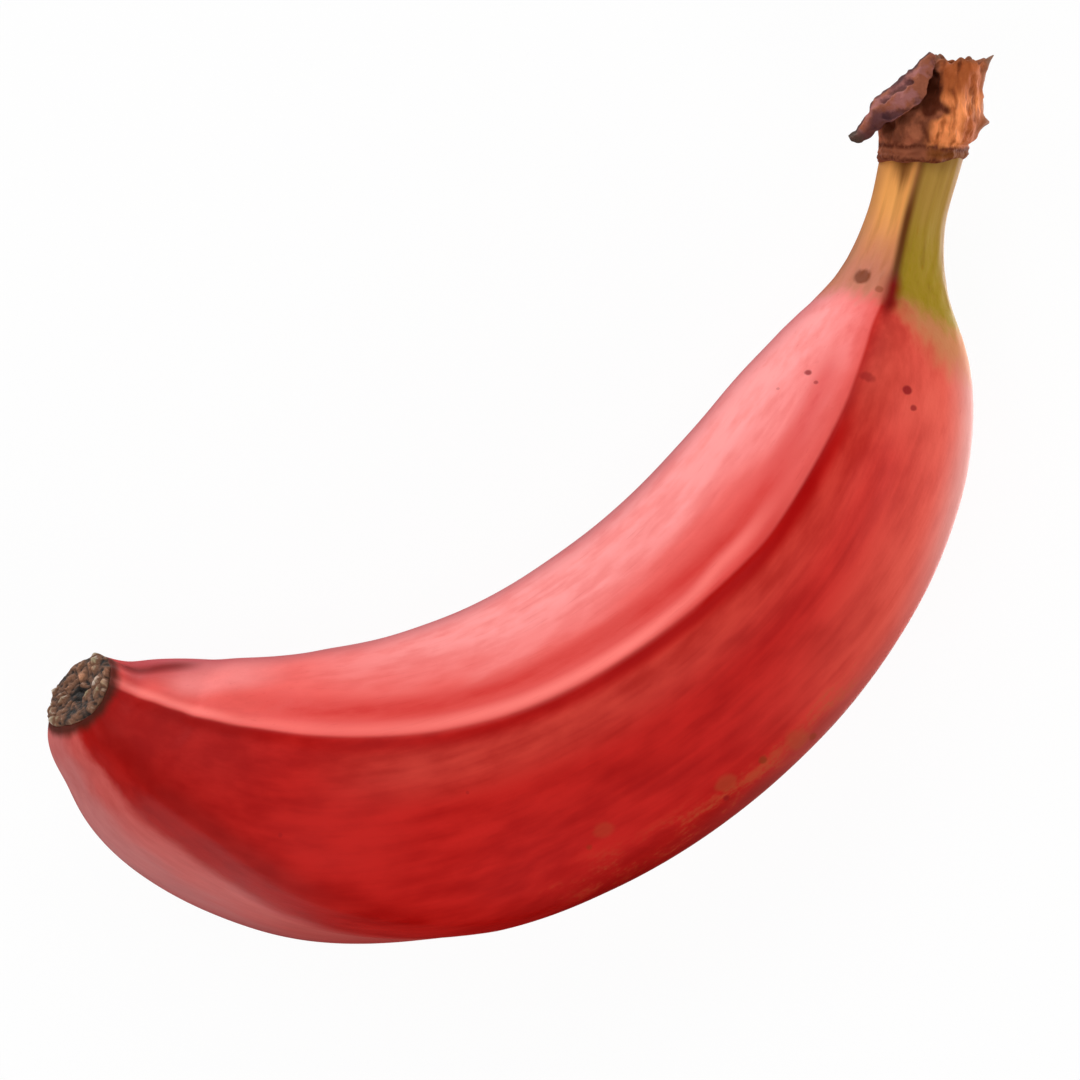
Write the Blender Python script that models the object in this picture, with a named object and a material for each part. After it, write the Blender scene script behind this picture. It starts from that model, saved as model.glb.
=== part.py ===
"""A red banana as picked, lying on its side.

It is one grown body: a stout bowed fruit with five blunt ridges. The dry blossom scar closes one
end, and the other narrows to a ridged stem that ends in the torn piece of crown it came away with.

Frame: +X runs along the chord of the bow from the blossom scar to the stem, +Y points to the hollow
side, +Z is up, and the origin is on the table under the middle of the fruit's box.
"""

import math

import bmesh
import bpy
import numpy as np

MM = 0.001

# Cross-sections from the blossom end to the top of the stem, in mm: the middle's x and y, half the
# width seen from above, the thickness, and the height of the underside above the table.
SECTIONS = (
    (-69.6, 30.3, 6.0, 11.6, 18.6),
    (-69.7, 27.6, 8.2, 15.6, 15.4),
    (-68.4, 23.7, 10.9, 20.6, 11.2),
    (-65.7, 16.0, 15.2, 28.4, 4.8),
    (-60.1, 7.6, 18.0, 34.0, 1.2),
    (-53.1, 0.7, 19.9, 37.4, 0.1),
    (-45.1, -4.5, 20.5, 39.2, 0.0),
    (-27.1, -11.2, 21.1, 40.6, 0.0),
    (-7.1, -13.3, 21.0, 41.0, 0.0),
    (10.9, -11.1, 20.2, 40.0, 0.0),
    (26.9, -5.7, 18.4, 37.0, 0.0),
    (37.9, 0.1, 15.8, 31.6, 0.6),
    (45.1, 5.3, 12.3, 24.6, 3.0),
    (50.7, 10.1, 7.9, 15.6, 6.6),
    (57.5, 16.3, 5.4, 10.8, 9.8),
    (64.9, 22.8, 5.5, 11.2, 12.0),
)

# The five ridges: for each share of the length, their angles in degrees from the outward side of
# the bow, turning over the top, and how crisp the ridges are.
RIDGES = (
    (0.00, 76, 126, 196, 272, 350, 3.5),
    (0.12, 72, 122, 192, 268, 346, 4.5),
    (0.28, 44, 117, 184, 256, 330, 6.0),
    (0.42, 22, 107, 178, 244, 314, 7.0),
    (0.56, 22, 102, 175, 238, 310, 7.0),
    (0.72, 28, 101, 175, 238, 310, 6.5),
    (0.86, 32, 97, 175, 240, 312, 6.0),
    (1.00, 30, 96, 175, 244, 312, 6.0),
)

RING_COUNT = 58
POINTS_PER_FACET = 10

# How deep the fruit's own weight beds it, in mm, which leaves a flat patch underneath.
BED = 0.25

# Which way each end faces: its heading in plan and its pitch above level, in degrees, and over how
# many mm the sections turn to match.
SCAR_FACING = (105.0, 36.0, 14.0)
CROWN_FACING = (50.0, 8.0, 9.0)

# The blossom scar, from the skin inwards: radius as a share of the fruit's end, and mm beyond it.
SCAR_PROFILE = (
    (1.02, 0.3),
    (0.96, 0.8),
    (0.78, 1.1),
    (0.55, 0.6),
    (0.36, 0.4),
    (0.22, 0.9),
    (0.08, 1.1),
)

# The torn crown, ring by ring from the collar up, in mm. Each ring gives its height along the stem
# and its radius on the plain side, the same two on the side of the folded flap, how narrow the flap
# is there, and how far the ring's middle leans to the outward side.
CROWN = (
    (0.3, 6.2, 0.3, 6.3, 1.0, 0.0),
    (1.4, 6.5, 1.4, 6.6, 1.0, 0.0),
    (2.0, 6.0, 2.0, 6.3, 1.0, 0.1),
    (2.6, 6.4, 1.6, 7.8, 5.0, 0.4),
    (3.2, 6.9, 0.0, 10.2, 6.0, 0.6),
    (3.9, 7.4, 1.1, 11.2, 6.0, 0.8),
    (4.8, 6.7, 3.1, 9.8, 4.0, 1.3),
    (7.0, 5.4, 6.6, 9.2, 1.5, 2.3),
    (10.0, 4.2, 9.7, 7.1, 1.5, 3.6),
    (13.0, 4.2, 13.1, 4.5, 1.0, 4.4),
    (12.4, 3.2, 12.3, 3.0, 1.0, 4.4),
    (11.0, 1.5, 11.0, 1.4, 1.0, 4.3),
)
FLAP_ANGLE = 168.0
TORN_RING = 9
TEAR_DEPTH = 0.9
CREASE_ANGLE = 98.0
CREASE_DEPTH = 1.1
CREASE_WIDTH = 14.0
CREASE_RINGS = (6, 7, 8, 9)


def smooth_curve(knots, values, at):
    """The smooth curve through values at the knots, read at other places."""
    slopes = np.gradient(values, knots, axis=0)
    index = np.clip(np.searchsorted(knots, at, side="right") - 1, 0, len(knots) - 2)
    span = knots[index + 1] - knots[index]
    u = ((at - knots[index]) / span)[:, None]
    span = span[:, None]
    start = (1 + 2 * u) * (1 - u) ** 2 * values[index] + u * (1 - u) ** 2 * span * slopes[index]
    end = u**2 * (3 - 2 * u) * values[index + 1] - u**2 * (1 - u) * span * slopes[index + 1]
    return start + end


def unit(vectors):
    return vectors / np.linalg.norm(vectors, axis=-1, keepdims=True)


def ring_angles(ridges):
    """Angles round one section, with a point on every ridge and the rest shared out between."""
    following = np.roll(ridges, -1)
    following[-1] += 360.0
    steps = np.arange(POINTS_PER_FACET) / POINTS_PER_FACET
    return (ridges[:, None] + (following - ridges)[:, None] * steps).ravel()


def ridged_outline(ridges, crispness):
    """A five-sided outline with rounded corners at the ridges, one unit wide and one high."""
    following = np.roll(ridges, -1)
    following[-1] += 360.0
    facing = (ridges + following) / 2
    reach = np.cos(np.radians(following - ridges) / 2)
    angles = ring_angles(ridges)
    leaning = np.cos(np.radians(angles[:, None] - facing)) / reach
    radius = (np.maximum(leaning, 0) ** crispness).sum(axis=1) ** (-1 / crispness)
    outline = radius[:, None] * np.stack([np.cos(np.radians(angles)), np.sin(np.radians(angles))], 1)
    low, high = outline.min(axis=0), outline.max(axis=0)
    return (outline - (low + high) / 2) / (high - low)


def direction(heading, pitch):
    heading, pitch = math.radians(heading), math.radians(pitch)
    level = math.cos(pitch)
    return np.array([math.cos(heading) * level, math.sin(heading) * level, math.sin(pitch)])


def section_frames(middles, lengths):
    """The along, outward and upward directions of each section, with both ends turned."""
    along = unit(np.gradient(middles, lengths, axis=0))
    ends = ((lengths, -1, SCAR_FACING), (lengths[-1] - lengths, 1, CROWN_FACING))
    for from_end, sign, (heading, pitch, reach) in ends:
        turn = np.clip(1 - from_end / reach, 0, 1)[:, None] ** 1.5
        along = unit(along * (1 - turn) + sign * direction(heading, pitch) * turn)
    outward = unit(np.cross(along, (0.0, 0.0, 1.0)))
    return along, outward, np.cross(outward, along)


def fruit_sections():
    """Middles, frames and rings of the fruit and its stem, in mm."""
    stations = np.array(SECTIONS)
    steps = np.hypot(*np.diff(stations[:, :2], axis=0).T)
    knots = np.concatenate([[0.0], np.cumsum(steps)])
    lengths = np.linspace(0, knots[-1], RING_COUNT)
    rows = smooth_curve(knots, stations, lengths)
    ridge_table = np.array(RIDGES, float)
    ridges = smooth_curve(ridge_table[:, 0], ridge_table[:, 1:], lengths / knots[-1])
    outlines = [ridged_outline(row[:5], row[5]) for row in ridges]
    widths, thicknesses, rises = 2 * rows[:, 2], rows[:, 3], np.maximum(rows[:, 4], 0)
    heights = rises + thicknesses / 2
    for _ in range(4):
        middles = np.column_stack([rows[:, :2], heights])
        along, outward, upward = section_frames(middles, lengths)
        rings = [
            middle + outline[:, :1] * width * out + outline[:, 1:] * thickness * up
            for middle, width, thickness, outline, out, up in zip(
                middles, widths, thicknesses, outlines, outward, upward
            )
        ]
        undersides = np.array([ring[:, 2].min() for ring in rings])
        heights = heights + rises - undersides
    return middles, (along, outward, upward), rings, ridges


def scar_rings(end_ring, middle, outwards):
    """Rings that close the blossom end with a dished, dry scar."""
    rings = []
    for share, beyond in SCAR_PROFILE:
        rings.append(middle + (end_ring - middle) * share + outwards * beyond)
    return rings


def crown_rings(middle, frame, angles):
    """Rings of the torn crown, round the axis of the stem's end."""
    along, outward, upward = frame
    turns = np.radians(angles)
    spokes = np.cos(turns)[:, None] * outward + np.sin(turns)[:, None] * upward
    near_flap = np.maximum(np.cos(np.radians(angles - FLAP_ANGLE)), 0)
    from_crease = (angles - CREASE_ANGLE + 180) % 360 - 180
    crease = np.exp(-((from_crease / CREASE_WIDTH) ** 2))
    tear = np.sin(turns * 3 + 0.6) + 0.6 * np.sin(turns * 7 + 1.9) + 0.4 * np.sin(turns * 11)
    rings = []
    for number, (height, radius, flap_height, flap_radius, narrow, lean) in enumerate(CROWN):
        flap = near_flap**narrow
        heights = height + (flap_height - height) * flap
        radii = radius + (flap_radius - radius) * flap
        if number in CREASE_RINGS:
            radii = radii - CREASE_DEPTH * crease
        if number == TORN_RING:
            heights = heights + TEAR_DEPTH * tear / 2
        rings.append(
            middle + outward * lean + along * heights[:, None] + spokes * radii[:, None]
        )
    return rings


def loft(rings):
    """A closed mesh through the rings, each grown from the one before."""
    shape = bmesh.new()
    bmesh.ops.create_circle(shape, cap_ends=True, segments=len(rings[0]), radius=MM)
    shape.verts.ensure_lookup_table()
    for vert, place in zip(shape.verts, rings[0]):
        vert.co = place * MM
    edges = shape.edges[:]
    for ring in rings[1:]:
        grown = bmesh.ops.extrude_edge_only(shape, edges=edges)["geom"]
        verts = [item for item in grown if isinstance(item, bmesh.types.BMVert)]
        edges = [edge for edge in grown if isinstance(edge, bmesh.types.BMEdge) and edge.is_boundary]
        for vert, place in zip(verts, ring):
            vert.co = place * MM
    bmesh.ops.contextual_create(shape, geom=edges)
    caps = [face for face in shape.faces if len(face.verts) > 4]
    bmesh.ops.poke(shape, faces=caps)
    return shape


def bed_on_table(shape):
    """Lower the fruit by its bed, flatten what would sink, and centre its box over the origin."""
    for vert in shape.verts:
        vert.co.z = max(vert.co.z - BED * MM, 0)
    places = np.array([vert.co for vert in shape.verts])
    middle = (places.min(axis=0) + places.max(axis=0)) / 2
    for vert in shape.verts:
        vert.co.x -= middle[0]
        vert.co.y -= middle[1]


def skin_material():
    material = bpy.data.materials.new("Red skin")
    material.use_nodes = True
    shader = material.node_tree.nodes["Principled BSDF"]
    shader.inputs["Base Color"].default_value = (0.55, 0.035, 0.024, 1)
    shader.inputs["Roughness"].default_value = 0.42
    shader.inputs["Metallic"].default_value = 0
    return material


def make_banana(collection):
    middles, (along, outward, upward), rings, ridges = fruit_sections()
    scar = scar_rings(rings[0], middles[0], -along[0])
    crown = crown_rings(middles[-1], (along[-1], outward[-1], upward[-1]), ring_angles(ridges[-1][:5]))
    shape = loft(scar[::-1] + rings + crown)
    bed_on_table(shape)
    bmesh.ops.recalc_face_normals(shape, faces=shape.faces)
    mesh = bpy.data.meshes.new("banana")
    shape.to_mesh(mesh)
    shape.free()
    mesh.shade_smooth()
    mesh.materials.append(skin_material())
    collection.objects.link(bpy.data.objects.new("banana", mesh))


def main():
    for old in list(bpy.data.objects):
        bpy.data.objects.remove(old)
    collection = bpy.data.collections.new("Red banana")
    bpy.context.scene.collection.children.link(collection)
    make_banana(collection)


main()
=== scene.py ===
import math
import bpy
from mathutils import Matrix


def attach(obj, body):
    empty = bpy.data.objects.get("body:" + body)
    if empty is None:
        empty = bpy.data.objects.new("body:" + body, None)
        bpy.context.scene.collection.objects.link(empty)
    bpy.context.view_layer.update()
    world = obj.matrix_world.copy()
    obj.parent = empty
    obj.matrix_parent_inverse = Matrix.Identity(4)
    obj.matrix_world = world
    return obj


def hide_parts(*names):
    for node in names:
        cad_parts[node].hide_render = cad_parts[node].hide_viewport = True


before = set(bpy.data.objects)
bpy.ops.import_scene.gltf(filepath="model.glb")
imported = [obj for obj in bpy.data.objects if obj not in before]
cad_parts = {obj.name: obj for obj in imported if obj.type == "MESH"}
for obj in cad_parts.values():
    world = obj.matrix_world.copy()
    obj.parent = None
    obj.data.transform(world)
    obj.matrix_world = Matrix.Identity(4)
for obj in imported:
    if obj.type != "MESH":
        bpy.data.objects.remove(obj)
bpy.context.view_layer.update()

from types import SimpleNamespace

import bmesh
import bpy
import numpy as np
from mathutils import Vector, noise

mm = 0.001
farJump = 10.0       # mm, more than any real change across one face
print("CAD frame loaded")


def smoothCurve(knots, values, at):
    slopes = np.gradient(values, knots, axis=0)
    index = np.clip(np.searchsorted(knots, at, side="right") - 1, 0, len(knots) - 2)
    span = (knots[index + 1] - knots[index])[:, None]
    u = (at - knots[index])[:, None] / span
    start = (1 + 2 * u) * (1 - u) ** 2 * values[index] + u * (1 - u) ** 2 * span * slopes[index]
    end = u**2 * (3 - 2 * u) * values[index + 1] - u**2 * (1 - u) * span * slopes[index + 1]
    return start + end


def spreadRows(table, between):
    # a table's rows with more rows set between them, and the place of each one in the table
    table = np.array(table)
    last = len(table) - 1
    at = np.linspace(0, last, last * between + 1)
    return at, smoothCurve(np.arange(last + 1, dtype=float), table, at)


def unit(vectors):
    return vectors / np.linalg.norm(vectors, axis=-1, keepdims=True)


def step(value, low, high):
    # 0 below low, 1 above high, smooth between
    u = np.clip((value - low) / (high - low), 0, 1)
    return u * u * (3 - 2 * u)


def bump(value, middle, width):
    return np.exp(-(((value - middle) / width) ** 2))


def roughness(points, size, seed=0.0):
    # smooth noise in -1..1 read at points in mm, with features of that size
    places = (points / size + seed).reshape(-1, 3)
    return np.array([noise.noise(Vector(place)) for place in places]).reshape(points.shape[:-1])


def creases(points, size, seed=0.0, sharpness=2.2):
    # sharp ridges in 0..1, 1 along their tops
    return 1 - np.minimum(np.abs(roughness(points, size, seed)) * sharpness, 1)


def heading(degrees, pitch):
    # the direction at that many degrees from +X, raised by the pitch
    turn, tilt = math.radians(degrees), math.radians(pitch)
    level = math.cos(tilt)
    return np.array([math.cos(turn) * level, math.sin(turn) * level, math.sin(tilt)])


def addObject(name, data):
    made = bpy.data.objects.new(name, data)
    bpy.context.scene.collection.objects.link(made)
    return made


def keepValues(mesh, values):
    # keeps vectors on the points, and numbers on the corners of the faces
    corners = np.zeros(len(mesh.loops), np.int32)
    mesh.loops.foreach_get("vertex_index", corners)
    counts = np.zeros(len(mesh.polygons), np.int32)
    mesh.polygons.foreach_get("loop_total", counts)
    starts = np.cumsum(counts) - counts
    for key, grid in values.items():
        isVector = grid.ndim == 3
        flat = grid.reshape(-1, 3 if isVector else 1)
        flat = np.concatenate([flat, flat[:1], flat[-1:]])     # the two points that close the ends
        if isVector:
            attribute = mesh.attributes.new(key, "FLOAT_VECTOR", "POINT")
            attribute.data.foreach_set("vector", flat.astype(np.float32).ravel())
            continue
        # a distance that jumps from one sign to the other on the far side keeps one sign in a face
        onCorners = flat[corners, 0]
        highest = np.maximum.reduceat(onCorners, starts)
        jumps = highest - np.minimum.reduceat(onCorners, starts) > farJump
        onCorners = np.where(np.repeat(jumps, counts), np.repeat(highest, counts), onCorners)
        attribute = mesh.attributes.new(key, "FLOAT", "CORNER")
        attribute.data.foreach_set("value", onCorners.astype(np.float32))


def loftRings(name, rings, values, material):
    # grows a closed skin ring by ring, and keeps the named values on it
    shape = bmesh.new()
    bmesh.ops.create_circle(shape, cap_ends=True, segments=len(rings[0]), radius=mm)
    shape.verts.ensure_lookup_table()
    for vert, place in zip(shape.verts, rings[0]):
        vert.co = place * mm
    edges = shape.edges[:]
    for ring in rings[1:]:
        grown = bmesh.ops.extrude_edge_only(shape, edges=edges)["geom"]
        verts = [item for item in grown if isinstance(item, bmesh.types.BMVert)]
        edges = [item for item in grown if isinstance(item, bmesh.types.BMEdge) and item.is_boundary]
        for vert, place in zip(verts, ring):
            vert.co = place * mm
    bmesh.ops.contextual_create(shape, geom=edges)
    bmesh.ops.poke(shape, faces=[face for face in shape.faces if len(face.verts) > 4])
    bmesh.ops.recalc_face_normals(shape, faces=shape.faces)
    mesh = bpy.data.meshes.new(name)
    shape.to_mesh(mesh)
    shape.free()
    mesh.shade_smooth()
    mesh.materials.append(material)
    keepValues(mesh, values)
    return addObject(name, mesh)


# the camera, straight above the fruit and turned so that the stem points to the upper right: its
# place, lens and sensor in mm, its turn in degrees, and how near and how far it sees in m
camera = {
    "place": (-7.84, 10.73, 565.5),
    "turn": -36.0,
    "lens": 135.0,
    "sensor": 36.0,
    "nearest": 0.01,
    "farthest": 20.0,
}


def makeCamera():
    data = bpy.data.cameras.new("camera")
    data.lens = camera["lens"]
    data.sensor_width = camera["sensor"]
    data.clip_start = camera["nearest"]
    data.clip_end = camera["farthest"]
    eye = addObject("camera", data)
    eye.location = Vector(camera["place"]) * mm
    eye.rotation_euler = (0, 0, math.radians(camera["turn"]))
    bpy.context.scene.camera = eye
    print("camera made")


studio = {
    "floorSize": 4.0,           # m to each side
    "floor": {
        "Base Color": (0.05, 0.05, 0.05),
        "Roughness": 0.9,
        "Specular IOR Level": 0.0,
        "Emission Color": (1.0, 1.0, 1.0),
        "Emission Strength": 0.95,
    },
    "backdrop": 0.98,           # how bright the ground behind everything is
    "above": 0.03,              # how bright the room is overhead, and below
    "below": 0.01,
    "fade": (-0.3, 0.5),        # the slopes between which one becomes the other
    "aim": 0.02,                # m above the floor, where the lights face
    # each light's heading and pitch seen from the fruit in degrees, how far it stands, its width
    # and its height in m, and its power in W
    "lights": (
        ("rightPanel", -36, -12, 0.9, 0.45, 1.1, 11.0),
        ("innerPanel", 99, -14, 0.9, 0.6, 0.5, 5.8),
        ("stemPanel", 54, 38, 0.9, 0.45, 0.45, 3.0),
        ("stemCard", 54, -35, 0.9, 0.45, 0.45, 1.6),
        ("outerPanel", 189, 8, 0.9, 0.45, 0.5, 2.6),
        ("outerCard", 189, -35, 0.9, 0.45, 0.45, 1.5),
        ("outerHigh", 279, 38, 0.9, 0.45, 0.45, 1.9),
        ("rightCard", -20, -52, 0.9, 0.7, 0.7, 7.0),
        ("innerHigh", 105, 48, 0.9, 0.5, 0.5, 1.8),
        ("overhead", 189, 64, 0.9, 0.45, 0.45, 2.0),
    ),
}


def makeLight(name, degrees, pitch, away, width, height, power):
    data = bpy.data.lights.new(name, "AREA")
    data.shape = "RECTANGLE"
    data.size = width
    data.size_y = height
    data.energy = power
    light = addObject(name, data)
    towards = Vector(heading(degrees, pitch))
    light.location = towards * away + Vector((0, 0, studio["aim"]))
    light.rotation_euler = towards.to_track_quat("Z", "Y").to_euler()


class Socket:
    # a node's output, with arithmetic that adds Math nodes
    def __init__(self, sheet, output):
        self.sheet = sheet
        self.output = output

    def math(self, operation, first, second=0.0):
        return self.sheet.node("ShaderNodeMath", {"operation": operation}, {0: first, 1: second})

    def __add__(self, other):
        return self.math("ADD", self, other)

    __radd__ = __add__

    def __sub__(self, other):
        return self.math("SUBTRACT", self, other)

    def __rsub__(self, other):
        return self.math("SUBTRACT", other, self)

    def __mul__(self, other):
        return self.math("MULTIPLY", self, other)

    __rmul__ = __mul__

    def __truediv__(self, other):
        return self.math("DIVIDE", self, other)

    def __rtruediv__(self, other):
        return self.math("DIVIDE", other, self)

    def __neg__(self):
        return self.math("MULTIPLY", self, -1.0)

    def lowest(self, other):
        return self.math("MINIMUM", self, other)

    def highest(self, other):
        return self.math("MAXIMUM", self, other)

    def swing(self, width):
        # a noise around 0.5 made to swing around 0
        return (self - 0.5) * width


class NodeSheet:
    # the nodes of the world or of one material, with its piece's settings and its colour so far
    def __init__(self, owner, look=None):
        owner.use_nodes = True
        self.owner = owner
        self.look = look
        self.colour = None
        self.tree = owner.node_tree
        self.shader = self.tree.nodes.get("Principled BSDF")

    def node(self, kind, settings, values, output=0):
        made = self.tree.nodes.new(kind)
        for key, value in settings.items():
            setattr(made, key, value)
        for key, value in values.items():
            self.feed(made.inputs[key], value)
        return Socket(self, made.outputs[output]) if made.outputs else None

    def feed(self, entry, value):
        if isinstance(value, Socket):
            self.tree.links.new(value.output, entry)
        elif entry.type == "RGBA":
            entry.default_value = (*value, 1)
        else:
            entry.default_value = value

    def number(self, name):
        return self.node("ShaderNodeAttribute", {"attribute_name": name}, {}, "Fac")

    def places(self, name):
        return self.node("ShaderNodeAttribute", {"attribute_name": name}, {}, "Vector")

    def step(self, value, low, high):
        # 0 at low, 1 at high, smooth between, where low may also be the larger of the two
        values = {"Value": value, "From Min": low, "From Max": high}
        if low > high:
            values = {"Value": value, "From Min": high, "From Max": low, "To Min": 1.0, "To Max": 0.0}
        return self.node("ShaderNodeMapRange", {"interpolation_type": "SMOOTHSTEP"}, values)

    def between(self, value, low, lowEnd, highEnd, high):
        # 1 from lowEnd to highEnd, fading out to 0 at low and at high
        return self.step(value, low, lowEnd) * self.step(value, high, highEnd)

    def band(self, value, middle, width):
        # 1 at the middle, fading out to 0 a width away on both sides
        away = self.node("ShaderNodeMath", {"operation": "ABSOLUTE"}, {0: value - middle})
        return self.step(away, width, 0.0)

    def grains(self, places, scale, detail, shift=(0, 0, 0)):
        # noise around 0.5
        values = {"Vector": places, "Scale": scale, "Location": shift}
        places = self.node("ShaderNodeMapping", {}, values)
        return self.node("ShaderNodeTexNoise", {}, {"Vector": places, "Scale": 1.0, "Detail": detail})

    def mix(self, share, first, second):
        # in colour, sockets 6 and 7 are its two colours and output 2 is their mix
        return self.node("ShaderNodeMix", {"data_type": "RGBA"}, {0: share, 6: first, 7: second}, 2)

    def lay(self, mask, tint):
        # lays one of the piece's colours, or a mixed one, over the colour so far
        tint = self.look[tint] if isinstance(tint, str) else tint
        self.colour = self.mix(mask, self.colour, tint)

    def finish(self, rough, height):
        # the piece's finish: how much it mirrors, then the grain's depth in m and its strength
        mirror, depth, strength = self.look["finish"]
        values = {"Height": height, "Distance": depth, "Strength": strength}
        self.feed(self.shader.inputs["Base Color"], self.colour)
        self.feed(self.shader.inputs["Roughness"], rough)
        self.feed(self.shader.inputs["Specular IOR Level"], mirror)
        self.feed(self.shader.inputs["Normal"], self.node("ShaderNodeBump", {}, values))
        return self.owner


def makeRoom():
    # the room is dim above and dark below, and only the camera sees the bright backdrop
    world = bpy.data.worlds.new("studio")
    bpy.context.scene.world = world
    sheet = NodeSheet(world)
    sheet.tree.nodes.clear()
    towards = sheet.node("ShaderNodeTexCoord", {}, {}, "Generated")
    slope = sheet.node("ShaderNodeSeparateXYZ", {}, {0: towards}, "Z")
    fadeLow, fadeHigh = studio["fade"]
    values = {"Value": slope, "From Min": fadeLow, "From Max": fadeHigh,
              "To Min": studio["below"], "To Max": studio["above"]}
    brightness = sheet.node("ShaderNodeMapRange", {}, values)
    room = sheet.node("ShaderNodeBackground", {}, {"Strength": brightness})
    values = {"Color": (1, 1, 1), "Strength": studio["backdrop"]}
    backdrop = sheet.node("ShaderNodeBackground", {}, values)
    seen = sheet.node("ShaderNodeLightPath", {}, {}, "Is Camera Ray")
    either = sheet.node("ShaderNodeMixShader", {}, {0: seen, 1: room, 2: backdrop})
    sheet.node("ShaderNodeOutputWorld", {}, {"Surface": either})


def makeFloor():
    shape = bmesh.new()
    bmesh.ops.create_grid(shape, x_segments=1, y_segments=1, size=studio["floorSize"])
    mesh = bpy.data.meshes.new("floor")
    shape.to_mesh(mesh)
    shape.free()
    floor = addObject("floor", mesh)
    sheet = NodeSheet(bpy.data.materials.new("pale floor"))
    for entry, value in studio["floor"].items():
        sheet.feed(sheet.shader.inputs[entry], value)
    mesh.materials.append(sheet.owner)
    floor.visible_diffuse = False
    floor.visible_glossy = False
    floor.visible_shadow = False


def makeStudio():
    bpy.context.scene.view_settings.view_transform = "Standard"
    makeRoom()
    for settings in studio["lights"]:
        makeLight(*settings)
    makeFloor()
    print("studio made")


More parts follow.
